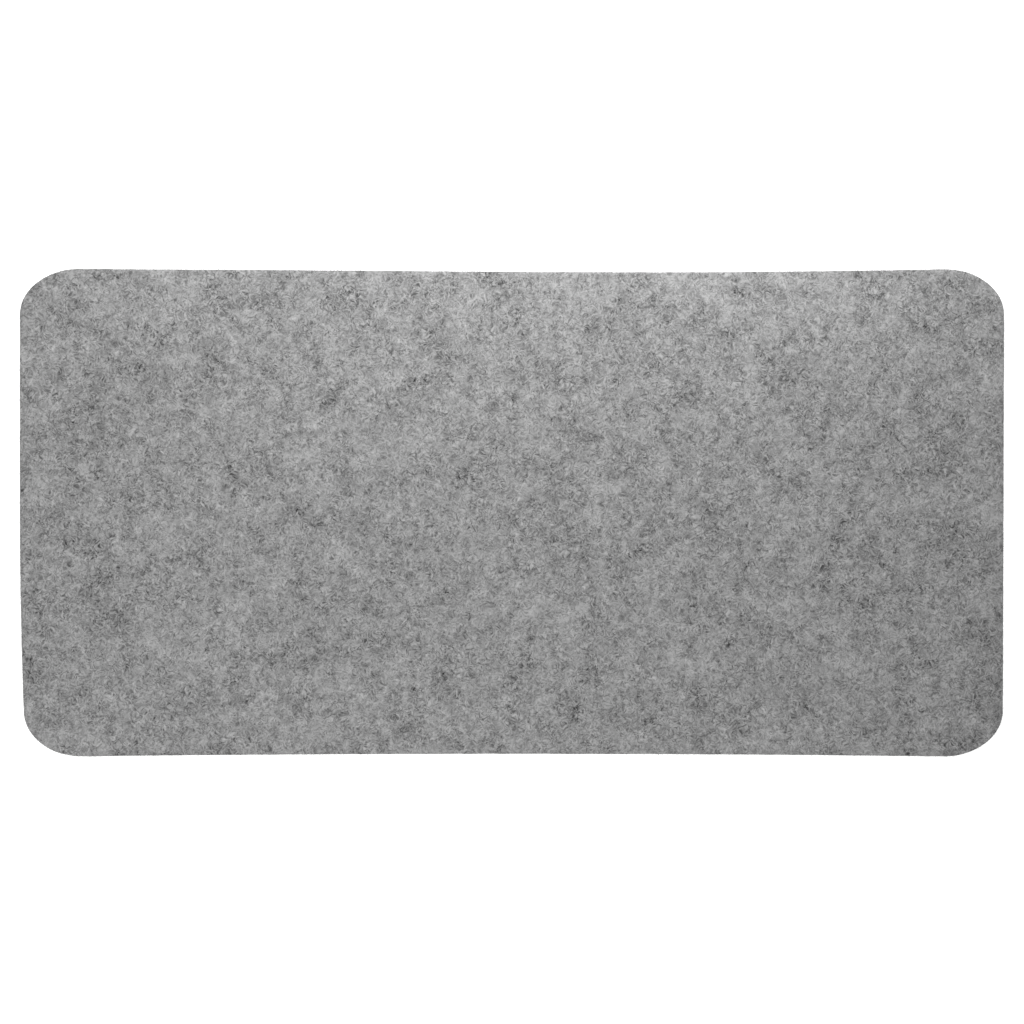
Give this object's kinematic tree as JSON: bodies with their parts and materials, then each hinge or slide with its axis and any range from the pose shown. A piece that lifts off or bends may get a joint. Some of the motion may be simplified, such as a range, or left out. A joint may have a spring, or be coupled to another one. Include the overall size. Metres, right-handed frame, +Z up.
{
  "type": "desk mat",
  "caption": "Rectangular felt desk mat with rounded corners, bonded to a thin non-slip rubber base, for a keyboard, mouse or laptop.",
  "frame": {"origin": "on the desk surface, under the middle of the mat", "axes": "+X along the mat's length, +Y away from the person at the desk, +Z up from the desk through the felt"},
  "size_m": [0.67, 0.3318, 0.004],
  "materials": {
    "grip_rubber": "matt, fine moulded grip texture",
    "hot_melt_film": "translucent adhesive film",
    "melange_felt": "light grey melange needle-punched felt"
  },
  "bodies": {
    "root": {"grip_base": "grip_rubber", "bonding_film": "hot_melt_film", "felt_face": "melange_felt"}
  },
  "joints": []
}
